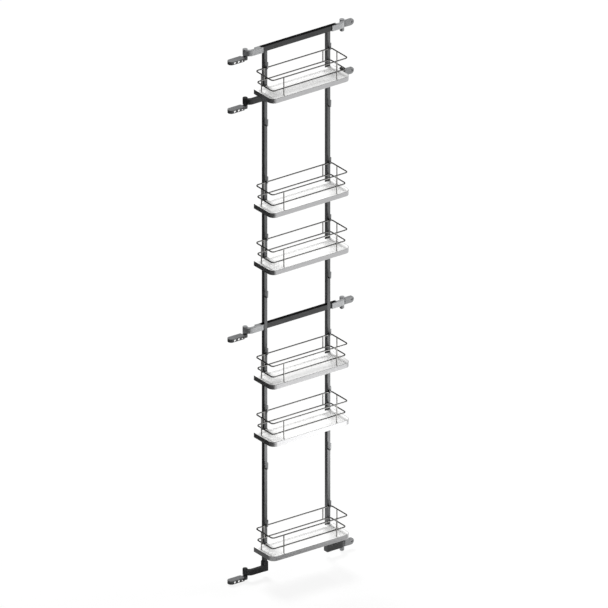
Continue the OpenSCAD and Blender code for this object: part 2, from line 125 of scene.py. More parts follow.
FLOOR_SIDE = 120
FLOOR_GLOW = 0.90
bounce_grey = (0.24, 0.24, 0.24, 1)
seen_grey = (0.92, 0.92, 0.92, 1)
plain_white = (1, 1, 1, 1)
bpy.ops.mesh.primitive_plane_add(size=FLOOR_SIDE)
floor = bpy.context.object
floor.name = "floor"
floor_white, shade = new_material("floor_white")
seen = (shade.node("ShaderNodeLightPath", out="Is Camera Ray")
        + shade.node("ShaderNodeLightPath", out="Is Glossy Ray")
        + shade.node("ShaderNodeLightPath", out="Is Transmission Ray"))
matt = shade.node("ShaderNodeBsdfDiffuse", Color=bounce_grey)
white = shade.node("ShaderNodeBsdfDiffuse", Color=seen_grey)
glow = shade.node("ShaderNodeEmission", Color=plain_white, Strength=1.0)
bright = shade.node("ShaderNodeMixShader", i0=FLOOR_GLOW, i1=white, i2=glow)
lit = shade.node("ShaderNodeMixShader", i0=shade.maths("MINIMUM", seen, 1.0), i1=matt, i2=bright)
shade.node("ShaderNodeOutputMaterial", Surface=lit)
floor.data.materials.append(floor_white)

# The studio above the floor is dim, so that the tops of the metal parts show dark.
STUDIO_DIM = 0.08
STUDIO_FILL = 0.18
world = bpy.data.worlds.new("studio")
bpy.context.scene.world = world
world.use_nodes = True
world.node_tree.nodes.clear()
shade = Shade(world.node_tree)
for_eye = shade.node("ShaderNodeLightPath", out="Is Camera Ray")
for_gloss = shade.node("ShaderNodeLightPath", out="Is Glossy Ray")
strength = for_eye + (1 - for_eye) * (for_gloss * STUDIO_DIM + (1 - for_gloss) * STUDIO_FILL)
shade.node("ShaderNodeOutputWorld",
           Surface=shade.node("ShaderNodeBackground", Color=plain_white, Strength=strength))


def lamp(name, kind, place, aim, energy, **sizes):
    """A lamp at that place that shines at the point aim. Metal doesn't show the suns."""
    bpy.ops.object.light_add(type=kind, location=place)
    made = bpy.context.object
    made.name = name
    made.data.energy = energy
    for size_name, size in sizes.items():
        setattr(made.data, size_name, size)
    made.rotation_euler = (Vector(aim) - Vector(place)).to_track_quat("-Z", "Y").to_euler()
    made.visible_camera = False
    made.visible_glossy = kind != "SUN"


unit_middle = (0, 0, 0.9)
lamp("key", "SUN", place=(0.5, 2.0, 3.75), aim=unit_middle, energy=3.5, angle=math.radians(24))
lamp("side", "SUN", place=(3.0, -0.6, 2.75), aim=unit_middle, energy=1.4, angle=math.radians(20))
lamp("floor_softbox", "AREA", place=(0.6, -0.65, 0.02), aim=(0.6, -0.65, 1), energy=2.9, size=0.6)


# Black cloth to the left, on the floor and behind, which the left sides of the metal show, and
# grey cloth on the floor by the unit's foot: painted shade, which the metal low down shows in
# place of the floor's shade round the foot.
def cloth(name, grey):
    """Matt cloth of one grey."""
    material, shade = new_material(name)
    shade.node("ShaderNodeOutputMaterial",
               Surface=shade.node("ShaderNodeBsdfDiffuse", Color=(grey, grey, grey, 1)))
    return material


def flag(name, material, place, sides, turn=(0, 0, 0)):
    """A card of cloth that the camera doesn't see and that holds no lamp back."""
    bpy.ops.mesh.primitive_plane_add(size=1, location=place, rotation=turn)
    card = bpy.context.object
    card.name = name
    card.scale = (*sides, 1)
    card.data.materials.append(material)
    card.visible_camera = False
    card.visible_shadow = False


black_cloth = cloth("black_cloth", 0.13)
# Painted shade: a grey card stands in for the floor's shade round the unit's foot, as the metal
# low down shows it.
painted_foot_shade = cloth("painted_foot_shade", 0.42)
face_right = (0, math.pi / 2, 0)
face_front = (math.pi / 2, 0, 0)
flag("left_flag", black_cloth, place=(-1.0, 0.0, 1.2), sides=(2.4, 4.0), turn=face_right)
flag("floor_flag", black_cloth, place=(-2.05, -0.9, 0.002), sides=(3.2, 6.0))
flag("back_left_flag", black_cloth, place=(-1.35, 0.45, 1.2), sides=(2.2, 2.4), turn=face_front)
flag("front_left_flag", black_cloth, place=(0.0, -3.6, 0.003), sides=(1.0, 1.2))
flag("middle_flag", black_cloth, place=(0.68, -1.36, 0.004), sides=(0.42, 0.50))
flag("back_floor_flag", black_cloth, place=(-0.55, 0.48, 0.004), sides=(0.9, 0.9))
# Painted shade round the foot, for the metal near the floor to show.
flag("foot_shade_flag", painted_foot_shade, place=(0.1, -0.285, 0.003), sides=(1.1, 0.33))
flag("foot_left_shade_flag", painted_foot_shade, place=(-0.2, -0.035, 0.003), sides=(0.5, 0.17))


# --- uprights ---
# Two drawn steel tubes of 11 by 14 mm with rounded corners, powder coated in dark grey. Each
# has nine slots through its front wall, for the tails of the hooks.
X, Y, Z = 0, 1, 2
OUT = {"left": -1, "right": 1}
ALONG = 0.99  # the cosine from which two directions count as one
SMOOTH_BELOW = math.radians(40)  # the angle up to which an edge is shaded smooth
OVERCUT = 0.001  # how far a cutter runs past the metal


def only(piece):
    """Deselects all but this piece and makes it the active one."""
    bpy.ops.object.select_all(action="DESELECT")
    piece.select_set(True)
    bpy.context.view_layer.objects.active = piece


def open_up(piece, kind, test):
    """Opens the piece in edit mode, with just those corners, edges or faces picked that pass."""
    only(piece)
    bpy.ops.object.mode_set(mode="EDIT")
    bpy.ops.mesh.select_mode(type=kind)
    bpy.ops.mesh.select_all(action="DESELECT")
    mesh = bmesh.from_edit_mesh(piece.data)
    for item in {"VERT": mesh.verts, "EDGE": mesh.edges, "FACE": mesh.faces}[kind]:
        item.select_set(bool(test(item)))
    bmesh.update_edit_mesh(piece.data)


def close_up():
    """Leaves edit mode."""
    bpy.ops.object.mode_set(mode="OBJECT")


def looks(face, x, y, z):
    """True for a face that looks along that direction."""
    return face.normal.dot(Vector((x, y, z))) > ALONG


def runs(edge, axis):
    """True for an edge that runs along that axis."""
    run = edge.verts[1].co - edge.verts[0].co
    return abs(run[axis]) > ALONG * run.length


def middle(item):
    """The middle of an edge or a face."""
    return sum((corner.co for corner in item.verts), Vector()) / len(item.verts)


def block(name, corner, far_corner):
    """Squared stock between two opposite corners."""
    ends = list(zip(corner, far_corner))
    bpy.ops.object.select_all(action="DESELECT")
    bpy.ops.mesh.primitive_cube_add(size=1, location=[(a + b) / 2 for a, b in ends],
                                    scale=[abs(b - a) for a, b in ends])
    piece = bpy.context.object
    piece.name = name
    bpy.ops.object.transform_apply(location=True, rotation=True, scale=True)
    return piece


def apply(piece, kind, **settings):
    """Adds a modifier with those settings and applies it."""
    only(piece)
    modifier = piece.modifiers.new(kind.lower(), kind)
    for name, value in settings.items():
        setattr(modifier, name, value)
    bpy.ops.object.modifier_apply(modifier=modifier.name)


def repeat(piece, count, step):
    """Repeats the piece in a row, as one mesh."""
    apply(piece, "ARRAY", count=count, use_relative_offset=False, use_constant_offset=True,
          constant_offset_displace=step)


def cut(piece, cutter):
    """Takes the cutter's shape out of the piece."""
    apply(piece, "BOOLEAN", operation="DIFFERENCE", object=cutter, solver="EXACT")
    bpy.data.objects.remove(cutter)


def round_off(piece, radius, segments, test):
    """Rounds the edges that pass."""
    open_up(piece, "EDGE", test)
    bpy.ops.mesh.bevel(offset=radius, segments=segments, affect="EDGES")
    close_up()


def put_on(piece, material, body, slot, *nodes):
    """Gives the finished piece its finish and its body, and the solids that it stands for."""
    only(piece)
    bpy.ops.object.shade_smooth_by_angle(angle=SMOOTH_BELOW)
    apply(piece, "WEIGHTED_NORMAL", keep_sharp=True)
    piece.data.materials.clear()
    piece.data.materials.append(material)
    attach(piece, body)
    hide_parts(*nodes)


def noise(shade, size, detail, stretch=(1, 1, 1)):
    """Soft noise from 0 to 1 with grains of about that size, drawn out along the axes."""
    scale = [1 / (size * factor) for factor in stretch]
    spot = shade.node("ShaderNodeMapping", Vector=shade.node("ShaderNodeTexCoord", out="Object"),
                      Scale=scale)
    return shade.node("ShaderNodeTexNoise", Vector=spot, Scale=1.0, Detail=detail)


def fade(shade, value, start, end, low=0.0, high=1.0):
    """Takes a value between start and end to one between low and high."""
    return shade.node("ShaderNodeMapRange", Value=value, From_Min=start, From_Max=end,
                      To_Min=low, To_Max=high)


def worn_edges(shade, width):
    """1 where an edge is rubbed, in broken stretches, and 0 on the faces."""
    rounded = shade.node("ShaderNodeBevel", {"samples": 6}, Radius=width)
    flat = shade.node("ShaderNodeNewGeometry", out="Normal")
    same = shade.node("ShaderNodeVectorMath", {"operation": "DOT_PRODUCT"}, out="Value",
                      i0=rounded, i1=flat)
    return (fade(shade, same, start=0.998, end=0.93)
            * fade(shade, noise(shade, size=0.005, detail=4), start=0.42, end=0.60))


def surface(shade, tint, grey, metal, rough, height, depth):
    """The finished surface: a tint times a grey, and a relief of that depth in metres."""
    base = shade.node("ShaderNodeVectorMath", {"operation": "SCALE"}, i0=tint, Scale=grey)
    relief = shade.node("ShaderNodeBump", Height=height, Distance=depth, Strength=1.0)
    shade.node("ShaderNodeOutputMaterial", Surface=shade.node(
        "ShaderNodeBsdfPrincipled", Base_Color=base, Metallic=metal, Roughness=rough,
        Normal=relief))


STEEL_TINT = (0.97, 0.985, 1.0)


def powder_coat(name, grey, run):
    """Satin metallic coat baked on steel: orange peel, fine rub marks along its run, and
    edges where it wears thin."""
    material, shade = new_material(name)
    tone = fade(shade, noise(shade, size=0.07, detail=3), 0.3, 0.7, low=0.92, high=1.08)
    rubs = fade(shade, noise(shade, size=0.0006, detail=2, stretch=run), start=0.64, end=0.78)
    worn = worn_edges(shade, width=0.0008)
    orange_peel = noise(shade, size=0.0011, detail=1)
    surface(shade, STEEL_TINT, grey=grey * tone + 0.05 * rubs + 0.2 * worn, metal=1.0,
            rough=0.36 + 0.06 * rubs - 0.08 * worn, height=orange_peel, depth=0.00004)
    return material


upright_coat = powder_coat("upright_coat", grey=0.15, run=(1, 1, 50))
TUBE_CORNER = 0.0005
TUBE_WALL = 0.0015
HOOK_PITCH = 0.190
HOOK_COUNT = 9
HOOK_T = 0.0016
WIRE_D = 0.0042
SLIP = 0.00005
hook_low, hook_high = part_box("left_hooks")
HOOK_W = hook_high.x - hook_low.x
front_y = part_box("left_upright")[0].y
back_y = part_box("left_upright")[1].y
first_wire_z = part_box("tray_1_railing")[1].z - WIRE_D / 2
hook_floor_z = first_wire_z - WIRE_D / 2 - SLIP


def tube(name, low, high, axis):
    """A drawn tube along one axis: long edges rounded, then opened from end to end."""
    piece = block(name, low, high)
    round_off(piece, TUBE_CORNER, 4, lambda edge: runs(edge, axis))
    wall = Vector((TUBE_WALL, TUBE_WALL, TUBE_WALL))
    wall[axis] = -OVERCUT
    cut(piece, block("hollow", low + wall, high - wall))
    return piece


centre_x = {}
for side in OUT:
    low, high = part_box(side + "_upright")
    centre_x[side] = (low.x + high.x) / 2
    upright = tube(side + "_upright_tube", low, high, Z)
    half_w = HOOK_W / 2 + SLIP
    slot = block("slot",
                 (centre_x[side] - half_w, front_y - OVERCUT, hook_floor_z - HOOK_T - SLIP),
                 (centre_x[side] + half_w, front_y + TUBE_WALL + OVERCUT, hook_floor_z + SLIP))
    repeat(slot, HOOK_COUNT, (0, 0, -HOOK_PITCH))
    cut(upright, slot)
    put_on(upright, upright_coat, "frame", "upright_paint", side + "_upright")


# --- rails ---
# The same kind of tube, 17 mm high, in a darker coat. The top rail lies on both uprights; the
# middle one is welded between them, with a stub outside each.
rail_coat = powder_coat("rail_coat", grey=0.075, run=(50, 1, 1))
for rail in ("top_rail", "middle_rail", "middle_rail_stub_left", "middle_rail_stub_right"):
    low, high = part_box(rail)
    put_on(tube(rail + "_tube", low, high, X), rail_coat, "frame", "rail_paint", rail)


# --- hooks ---
# Nine strips of 5 by 1.6 mm steel on each upright: a tail through the slot, a floor for the
# wire, a tight bend and a tongue that leans out, with a rounded tip.
hook_coat = powder_coat("hook_coat", grey=0.24, run=(1, 1, 8))
HOOK_BEND = 0.0009
TONGUE_OUT = 0.0012
TONGUE_H = 0.0247
TIP_OVER_WIRE = 0.021
TIP_ROUND = 0.0018
TAIL_T = 0.0012
TAIL_UP = 0.0015
NEAR = 0.0004  # the distance under which two places count as one
lean = TONGUE_OUT / TONGUE_H
tip_z = first_wire_z + TIP_OVER_WIRE


def near(place, other):
    return abs(place - other) < NEAR


def extrude(x, y, z):
    """Extrudes what is picked by that much."""
    bpy.ops.mesh.extrude_region_move(TRANSFORM_OT_translate={"value": (x, y, z)})


def break_edges(piece, width, segments, angle):
    """Rounds every edge that is sharper than the angle in degrees."""
    apply(piece, "BEVEL", width=width, segments=segments, limit_method="ANGLE",
          angle_limit=math.radians(angle))


def weld(piece, other):
    """Makes the piece and the other solid one."""
    apply(piece, "BOOLEAN", operation="UNION", object=other, solver="EXACT")
    bpy.data.objects.remove(other)


for side in OUT:
    x = centre_x[side]
    wall_y = front_y + TUBE_WALL
    bend_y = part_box(side + "_hooks")[0].y + TONGUE_OUT + HOOK_T + HOOK_BEND
    strip = block(side + "_hook_strips", (x - HOOK_W / 2, bend_y, hook_floor_z - HOOK_T),
                  (x + HOOK_W / 2, wall_y, hook_floor_z))
    open_up(strip, "FACE", lambda face: looks(face, 0, -1, 0))
    bpy.ops.mesh.spin(steps=8, angle=math.pi / 2 + math.atan(lean), axis=(1, 0, 0),
                      center=(x, bend_y, hook_floor_z + HOOK_BEND))
    rise = tip_z - hook_floor_z - HOOK_BEND
    extrude(0, -lean * rise, rise)
    close_up()
    round_off(strip, TIP_ROUND, 6, lambda edge: near(middle(edge).z, tip_z) and not runs(edge, X))
    weld(strip, block("tail", (x - HOOK_W / 2, wall_y, hook_floor_z - HOOK_T - TAIL_UP),
                      (x + HOOK_W / 2, wall_y + TAIL_T, hook_floor_z + TAIL_UP)))
    break_edges(strip, width=0.00025, segments=1, angle=60)
    repeat(strip, HOOK_COUNT, (0, 0, -HOOK_PITCH))
    put_on(strip, hook_coat, "frame", "hook_steel", side + "_hooks")


# --- arms ---
# Four pairs of die cast arms. Each runs out beside its upright, swings to the back in an arc
# and ends in a boss. The light ones lap the rails' ends, the dark ones are sleeves.
PIVOT_BACK = 0.017
ARM_DROP = 0.0222
ARM_T = 0.0102
ARM_BEND_R = 0.025
BOSS_R = 0.0078
BOSS_UP = 0.0026
BOSS_DOWN = 0.0004
BOSS_PROUD = 0.0004
RAIL_H = 0.017
LIGHT_ARM_H = 0.0182
LIGHT_WALL = 0.003
LAP_START = 0.0054
BLOCK_END = 0.028
TENON_L = 0.008
DARK_ARM_H = 0.018
SLEEVE_WALL = 0.0018
RIB = 0.008
RIB_ROOT = 0.0005
levels = ("top", "upper", "middle", "bottom")
light_levels = ("top", "middle")
pivots = {joint["child"]: Vector(joint["pos_m"]) for joint in frame["joints"]
          if joint["type"] == "hinge"}


def cast_coat(name, grey, metal, rough, bare):
    """Satin coat on a casting: a grainy skin over shallow flow marks, bare where rubbed."""
    material, shade = new_material(name)
    tone = fade(shade, noise(shade, size=0.02, detail=3), 0.3, 0.7, low=0.97, high=1.03)
    pits = fade(shade, noise(shade, size=0.0014, detail=2), start=0.30, end=0.22)
    worn = worn_edges(shade, width=0.0009)
    grain = noise(shade, size=0.0005, detail=2)
    flow = noise(shade, size=0.006, detail=1)
    surface(shade, STEEL_TINT, grey=grey * tone - 0.12 * grey * pits + (bare - grey) * worn,
            metal=metal, rough=rough + 0.05 * pits - 0.06 * worn,
            height=0.12 * grain + 0.6 * flow - 0.3 * pits, depth=0.00003)
    return material


light_cast = cast_coat("light_cast", grey=0.62, metal=0.56, rough=0.34, bare=0.76)
dark_cast = cast_coat("dark_cast", grey=0.055, metal=0.3, rough=0.40, bare=0.18)


def rod(name, start, radius, length, axis=Z, sides=48):
    """Round stock that runs for that length from start, up one of the three axes."""
    centre = Vector(start)
    centre[axis] += length / 2
    turn = [(0, math.pi / 2, 0), (math.pi / 2, 0, 0), (0, 0, 0)][axis]
    bpy.ops.object.select_all(action="DESELECT")
    bpy.ops.mesh.primitive_cylinder_add(vertices=sides, radius=radius, depth=length,
                                        location=centre, rotation=turn)
    piece = bpy.context.object
    piece.name = name
    bpy.ops.object.transform_apply(location=True, rotation=True, scale=True)
    return piece


def bore(piece, start, radius, depth, axis=Z, sides=48):
    """Bores the piece from start, up one of the three axes."""
    cut(piece, rod("bore", start, radius, depth, axis, sides))


def score(piece, axis, place, test=lambda face: True):
    """Divides the faces that pass, along a plane that stands square to the axis at that place."""
    square = Vector((0, 0, 0))
    square[axis] = 1
    open_up(piece, "FACE", test)
    bpy.ops.mesh.bisect(plane_co=square * place, plane_no=square)
    close_up()


def outer_x(node, side):
    """Where the node ends on that side."""
    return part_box(node)[0 if side == "left" else 1].x


def bend_to_boss(piece, out, pivot, wall):
    """From the picked end face: runs out and swings to the back, into the boss."""
    turn = math.acos(1 - (PIVOT_BACK + wall) / ARM_BEND_R)
    bend_x = pivot.x + out * (BOSS_R - BOSS_PROUD - ARM_BEND_R)
    start_x = middle(next(f for f in bmesh.from_edit_mesh(piece.data).faces if f.select)).x
    extrude(bend_x - start_x, 0, 0)
    bpy.ops.mesh.spin(steps=16, angle=-out * turn, axis=(0, 0, 1),
                      center=(bend_x, front_y - wall + ARM_BEND_R, 0))
    close_up()


def add_boss(piece, pivot, top, height):
    """Rounds the arm's edges and welds on the boss, which stands up over the arm."""
    break_edges(piece, width=0.0008, segments=3, angle=50)
    boss = rod("boss", (pivot.x, pivot.y, top - height), BOSS_R, height + BOSS_UP, sides=64)
    break_edges(boss, width=0.0009, segments=3, angle=60)
    weld(piece, boss)


def light_arm(side, level):
    """An arm with a tenon in the rail's end and a lap over the end's front and underside."""
    node = level + "_arm_" + side
    out = OUT[side]
    pivot = pivots[side + "_bracket_" + level]
    face_x = outer_x(side + "_upright", side)
    rail_end = outer_x("top_rail", side)
    top = pivot.z + ARM_DROP
    wall_front = front_y - LIGHT_WALL
    piece = block(node + "_casting",
                  (rail_end + out * SLIP, wall_front, top - LIGHT_ARM_H + BOSS_DOWN),
                  (face_x + out * BLOCK_END, back_y, top))
    score(piece, Y, wall_front + ARM_T)
    score(piece, Y, front_y)
    score(piece, Z, top - RAIL_H)
    open_up(piece, "FACE", lambda face: looks(face, out, 0, 0)
            and middle(face).y < wall_front + ARM_T)
    bend_to_boss(piece, out, pivot, LIGHT_WALL)
    open_up(piece, "FACE", lambda face: looks(face, -out, 0, 0)
            and near(middle(face).x, rail_end)
            and (middle(face).y < front_y or middle(face).z < top - RAIL_H))
    extrude(face_x + out * LAP_START - rail_end, 0, 0)
    close_up()
    open_up(piece, "FACE", lambda face: looks(face, -out, 0, 0)
            and near(middle(face).x, rail_end))
    bpy.ops.mesh.inset(thickness=TUBE_WALL + SLIP)
    extrude(-out * TENON_L, 0, 0)
    close_up()
    add_boss(piece, pivot, top, LIGHT_ARM_H)
    put_on(piece, light_cast, "frame", "light_arm", node)


def dark_arm(side, level):
    """An arm on a sleeve round the upright, with a rounded rib over its root."""
    node = level + "_arm_" + side
    out = OUT[side]
    pivot = pivots[side + "_bracket_" + level]
    low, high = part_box(node)
    outer = outer_x(side + "_upright", side) + out * SLEEVE_WALL
    inner = 2 * centre_x[side] - outer
    top = pivot.z + ARM_DROP
    bottom = top - DARK_ARM_H + BOSS_DOWN
    wall_front = front_y - SLEEVE_WALL
    piece = block(node + "_casting", (inner, wall_front, low.z),
                  (outer, back_y + SLEEVE_WALL, high.z))
    for axis, place in ((Z, top), (Z, bottom), (Y, wall_front + ARM_T)):
        score(piece, axis, place, lambda face: looks(face, out, 0, 0))
    open_up(piece, "FACE", lambda face: looks(face, out, 0, 0) and middle(face).z < top
            and middle(face).z > bottom and middle(face).y < wall_front + ARM_T)
    bend_to_boss(piece, out, pivot, SLEEVE_WALL)
    bore_low, bore_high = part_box(side + "_upright")
    bore_low.z = bore_low.z - SLIP if level == "bottom" else low.z - OVERCUT
    bore_high.z = high.z + OVERCUT
    play = Vector((SLIP, SLIP, 0))
    cut(piece, block("hollow", bore_low - play, bore_high + play))
    rib = block("rib", (outer - out * RIB_ROOT, wall_front, top - RIB_ROOT),
                (outer + out * RIB, wall_front + ARM_T, top + RIB))
    bore(rib, (outer + out * RIB, wall_front - OVERCUT, top + RIB), RIB, ARM_T + 2 * OVERCUT,
         axis=Y, sides=32)
    weld(piece, rib)
    add_boss(piece, pivot, top, DARK_ARM_H)
    put_on(piece, dark_cast, "frame", "dark_arm", node)


for side in OUT:
    for level in levels:
        if level in light_levels:
            light_arm(side, level)
        else:
            dark_arm(side, level)


# --- left brackets ---
# Pressed steel channels, open below and rounded at the far end, with a boss on the swivel pin.
# Three screws go through the back wall; the driver reaches them through holes in the front.
BRACKET_H = 0.0108
BRACKET_R = 0.0114
BRACKET_L = 0.0515
BRACKET_WALL = 0.002
BRACKET_CORNER = 0.002
BRACKET_END = 0.001
FULL_ROUND = 0.999  # the share of a half round that leaves the bevel a flat to end on
NECK_IN = 0.003
NECK_OUT = 0.0025
NECK_NARROWER = 0.001
NECK_LOWER = 0.0004
SCREW_COUNT = 3
HOLE_1 = 0.016
HOLE_PITCH = 0.0145
HOLE_R = 0.0025
DRIVER_R = 0.0036
DRIVER_BRIDGE = 0.0006
HOLE_UP = BRACKET_H - BRACKET_WALL - DRIVER_R - DRIVER_BRIDGE
PIN_R = 0.003
bracket_coat = cast_coat("bracket_coat", grey=0.22, metal=0.1, rough=0.50, bare=0.38)


def copy_of(piece, name, move):
    """A copy of the piece with its own mesh, moved."""
    made = piece.copy()
    made.data = piece.data.copy()
    made.name = name
    bpy.context.collection.objects.link(made)
    made.data.transform(Matrix.Translation(move))
    return made


def hang_brackets(pattern, side, name, material, slot):
    """Copies the top bracket to each level of its side, and scraps the pattern."""
    for level in levels:
        body = side + "_bracket_" + level
        made = copy_of(pattern, body + name, pivots[body] - pivots[side + "_bracket_top"])
        put_on(made, material, body, slot, body)
    bpy.data.objects.remove(pattern)


x, y = pivots["left_bracket_top"].x, pivots["left_bracket_top"].y
low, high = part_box("left_bracket_top")
bracket = block("left_bracket_channel", (x - BRACKET_L - BRACKET_R, y - BRACKET_R, low.z),
                (x - BOSS_R - BRACKET_END, y + BRACKET_R, high.z))
round_off(bracket, BRACKET_R * FULL_ROUND, 20,
          lambda edge: runs(edge, Z) and middle(edge).x < x - BRACKET_L)
round_off(bracket, BRACKET_CORNER, 4,
          lambda edge: runs(edge, Z) and middle(edge).x > x - BRACKET_L + NEAR)
open_up(bracket, "FACE", lambda face: looks(face, 0, 0, -1))
bpy.ops.mesh.inset(thickness=BRACKET_WALL)
extrude(0, 0, BRACKET_H - BRACKET_WALL)
close_up()
break_edges(bracket, width=0.0008, segments=3, angle=60)
boss = rod("boss", (x, y, low.z), BOSS_R, BRACKET_H, sides=64)
break_edges(boss, width=0.0006, segments=2, angle=60)
weld(bracket, boss)
neck_half = BOSS_R - NECK_NARROWER
weld(bracket, block("neck", (x - BOSS_R - NECK_OUT, y - neck_half, low.z + NECK_LOWER),
                    (x - BOSS_R + NECK_IN, y + neck_half, high.z - NECK_LOWER)))
for start_y, radius in ((y, HOLE_R), (y - BRACKET_R - OVERCUT, DRIVER_R)):
    drill = rod("drill", (x - HOLE_1, start_y, low.z + HOLE_UP), radius, BRACKET_R + OVERCUT,
                axis=Y)
    repeat(drill, SCREW_COUNT, (-HOLE_PITCH, 0, 0))
    cut(bracket, drill)
bore(bracket, (x, y, low.z - OVERCUT), PIN_R + SLIP, BRACKET_H + 2 * OVERCUT)
hang_brackets(bracket, "left", "_channel", bracket_coat, "screw_bracket")


# --- right brackets ---
# Die cast: a knuckle on the swivel pin, a web under the arm's end and an upright plate with
# an eye, which takes the fastening of the neighbouring part.
KNUCKLE_H = 0.013
KNUCKLE_R = 0.007
EYE_T = 0.007
EYE_R = 0.0107
EYE_OUT = 0.0315
EYE_HOLE_SHIFT = 0.0025
EYE_DROP = 0.0144
EYE_HOLE_R = 0.0033
EYE_GAP = 0.0018
eye_cast = cast_coat("eye_cast", grey=0.42, metal=0.45, rough=0.38, bare=0.60)

x, y, web_top = pivots["right_bracket_top"]
plate_x = x + BOSS_R + EYE_GAP
eye_z = web_top + ARM_DROP - EYE_DROP
bracket = block("right_bracket_plate", (plate_x, y - EYE_T / 2, eye_z - EYE_R),
                (x + EYE_OUT + EYE_R, y + EYE_T / 2, eye_z + EYE_R))
round_off(bracket, EYE_R * FULL_ROUND, 20,
          lambda edge: runs(edge, Y) and middle(edge).x > x + EYE_OUT)
score(bracket, Z, web_top, lambda face: looks(face, -1, 0, 0))
open_up(bracket, "FACE", lambda face: looks(face, -1, 0, 0) and middle(face).z < web_top)
extrude(x - plate_x, 0, 0)
close_up()
bore(bracket, (x + EYE_OUT + EYE_HOLE_SHIFT, y - EYE_T / 2 - OVERCUT, eye_z), EYE_HOLE_R,
     EYE_T + 2 * OVERCUT, axis=Y)
break_edges(bracket, width=0.0007, segments=3, angle=50)
knuckle_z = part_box("right_bracket_top")[0].z
knuckle = rod("knuckle", (x, y, knuckle_z), KNUCKLE_R, KNUCKLE_H, sides=64)
break_edges(knuckle, width=0.0006, segments=2, angle=60)
weld(bracket, knuckle)
bore(bracket, (x, y, knuckle_z - OVERCUT), PIN_R + SLIP, KNUCKLE_H + 2 * OVERCUT)
hang_brackets(bracket, "right", "_plate", eye_cast, "eye_bracket")


# --- swivel pins, washers and retaining rings ---
# Turned steel pins pressed into the bosses, with a groove for a spring steel ring under each
# bracket, and a black nylon washer between arm and bracket.
PIN_UNDER_TOP = 0.00405
PIN_END = 0.0012
GROOVE = 0.0005
RING_T = 0.001
RING_R = 0.0049
RING_MOUTH = 0.0018
RING_GAP = 0.0003
WASHER_R = 0.0048


def machined_steel(name, grey, rough, run):
    """Bare steel with fine tool marks that run along the long sides of its grain."""
    material, shade = new_material(name)
    marks = noise(shade, size=0.0002, detail=3, stretch=run)
    stain = fade(shade, noise(shade, size=0.003, detail=3), 0.35, 0.7, low=0.85, high=1.0)
    surface(shade, STEEL_TINT,
            grey=grey * stain * fade(shade, marks, 0.3, 0.7, low=0.85, high=1.1), metal=1.0,
            rough=fade(shade, marks, 0.2, 0.8, low=rough - 0.08, high=rough + 0.08),
            height=marks, depth=0.000015)
    return material


pin_steel = machined_steel("pin_steel", grey=0.45, rough=0.30, run=(20, 20, 1))
ring_steel = machined_steel("ring_steel", grey=0.16, rough=0.35, run=(6, 6, 1))

nylon, shade = new_material("nylon")
grain = noise(shade, size=0.0004, detail=3)
surface(shade, (1, 1, 1.03), grey=fade(shade, grain, 0.3, 0.7, low=0.014, high=0.026), metal=0.0,
        rough=fade(shade, grain, 0.3, 0.7, low=0.42, high=0.58), height=grain, depth=0.00002)


def swivel_pin(pivot, top, ring_top):
    """A pin from its top down through the bracket, with a groove for the ring."""
    low_end = ring_top - RING_T - PIN_END
    pin = rod("pin", (pivot.x, pivot.y, low_end), PIN_R, top - low_end)
    break_edges(pin, width=0.0004, segments=2, angle=60)
    groove = rod("groove", (pivot.x, pivot.y, ring_top - RING_T - SLIP), PIN_R + OVERCUT,
                 RING_T + 2 * SLIP)
    cut(groove, rod("core", (pivot.x, pivot.y, ring_top - RING_T - OVERCUT), PIN_R - GROOVE,
                    RING_T + 2 * OVERCUT))
    cut(pin, groove)
    return pin


def swivel_washer(pivot, top):
    """A washer round the pin, from the bracket up to the arm."""
    height = top - pivot.z - SLIP
    washer = rod("washer", (pivot.x, pivot.y, pivot.z + SLIP), WASHER_R, height)
    bore(washer, (pivot.x, pivot.y, pivot.z + SLIP - OVERCUT), PIN_R + SLIP,
         height + 2 * OVERCUT)
    break_edges(washer, width=0.00015, segments=2, angle=60)
    return washer


def retaining_ring(pivot, top):
    """A flat spring ring in the pin's groove, open to the right."""
    bottom = top - RING_T
    ring = rod("ring", (pivot.x, pivot.y, bottom), RING_R, RING_T)
    bore(ring, (pivot.x, pivot.y, bottom - OVERCUT), PIN_R - GROOVE + SLIP,
         RING_T + 2 * OVERCUT)
    cut(ring, block("mouth", (pivot.x, pivot.y - RING_MOUTH / 2, bottom - OVERCUT),
                    (pivot.x + RING_R + OVERCUT, pivot.y + RING_MOUTH / 2, top + OVERCUT)))
    break_edges(ring, width=0.00015, segments=2, angle=60)
    return ring


def gather(name, pieces):
    """Makes one object of several like pieces."""
    bpy.ops.object.select_all(action="DESELECT")
    for piece in pieces:
        piece.select_set(True)
    bpy.context.view_layer.objects.active = pieces[0]
    bpy.ops.object.join()
    joined = bpy.context.object
    joined.name = name
    return joined


pins, washers, rings = [], [], []
for body, pivot in pivots.items():
    arm_top = pivot.z + ARM_DROP
    arm_h = LIGHT_ARM_H if body.split("_bracket_")[1] in light_levels else DARK_ARM_H
    ring_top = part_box(body)[0].z - RING_GAP
    pins.append(swivel_pin(pivot, arm_top - PIN_UNDER_TOP, ring_top))
    washers.append(swivel_washer(pivot, arm_top - arm_h - SLIP))
    rings.append(retaining_ring(pivot, ring_top))
put_on(gather("swivel_pin_set", pins), pin_steel, "frame", "pin_steel", "swivel_pins")
put_on(gather("swivel_washer_set", washers), nylon, "frame", "washer_nylon", "swivel_washers")
put_on(gather("retaining_ring_set", rings), ring_steel, "frame", "ring_steel",
       "retaining_rings")


# --- arm screws ---
# Pan head screws in the back of the arms: through the rail's wall into each light arm, and
# through the sleeve into the upright on the dark ones.
screw_steel = machined_steel("screw_steel", grey=0.5, rough=0.28, run=(5, 30, 5))
HEAD_R = 0.0032
HEAD_H = 0.0022
HEAD_ROUND = 0.0013
SHANK_R = 0.00175
SHANK_ROOT = 0.0002
LIGHT_SHANK = 0.011
DARK_SHANK = SLEEVE_WALL + TUBE_WALL + 0.003
CROSS_HALF_L = 0.0022
CROSS_HALF_W = 0.0004
CROSS_FLOOR = 0.001


